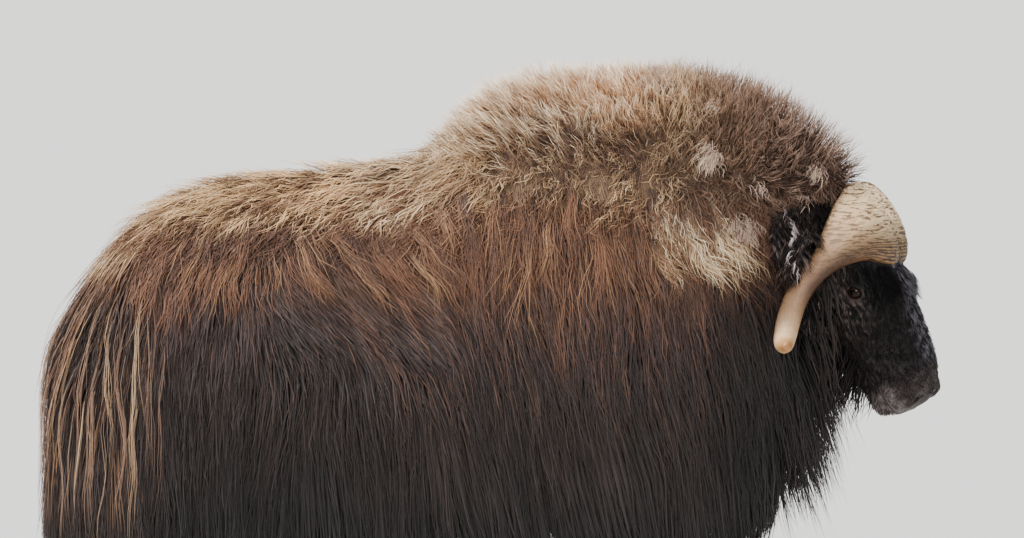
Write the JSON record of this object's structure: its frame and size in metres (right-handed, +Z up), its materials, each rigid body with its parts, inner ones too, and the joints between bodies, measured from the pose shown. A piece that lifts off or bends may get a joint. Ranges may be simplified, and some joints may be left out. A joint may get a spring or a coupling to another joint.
{
  "type": "muskox",
  "caption": "Life-size still model of a standing muskox bull, head low and turned to its right, with long skirted coat and downswept horns.",
  "frame": {"origin": "on the floor, under the middle of the animal's overall length and width", "axes": "+X from rump to head, +Y to the animal's left, +Z up"},
  "size_m": [2.185, 0.7816, 1.4272],
  "materials": {
    "long_coat": "long straight guard hair, red brown above and near black at the hem",
    "shoulder_wool": "matt curly wool, pale at the tips",
    "face_fur": "short dark fur",
    "leg_fur": "short pale fur",
    "horn": "ribbed horn, polished towards the tip",
    "eye": "wet and glossy",
    "hoof": "worn dark horn"
  },
  "bodies": {
    "root": {"head": "face_fur", "neck": "shoulder_wool", "torso_shoulders": "shoulder_wool", "torso_barrel": "long_coat", "torso_rump": "long_coat", "tail": "long_coat", "ear_left": "face_fur", "ear_right": "face_fur", "eye_left": "eye", "eye_right": "eye", "horn_left": "horn", "horn_right": "horn", "leg_front_left": "leg_fur", "hoof_front_left_inner": "hoof", "hoof_front_left_outer": "hoof", "leg_front_right": "leg_fur", "hoof_front_right_inner": "hoof", "hoof_front_right_outer": "hoof", "leg_rear_left": "leg_fur", "hoof_rear_left_inner": "hoof", "hoof_rear_left_outer": "hoof", "leg_rear_right": "leg_fur", "hoof_rear_right_inner": "hoof", "hoof_rear_right_outer": "hoof"}
  },
  "joints": []
}
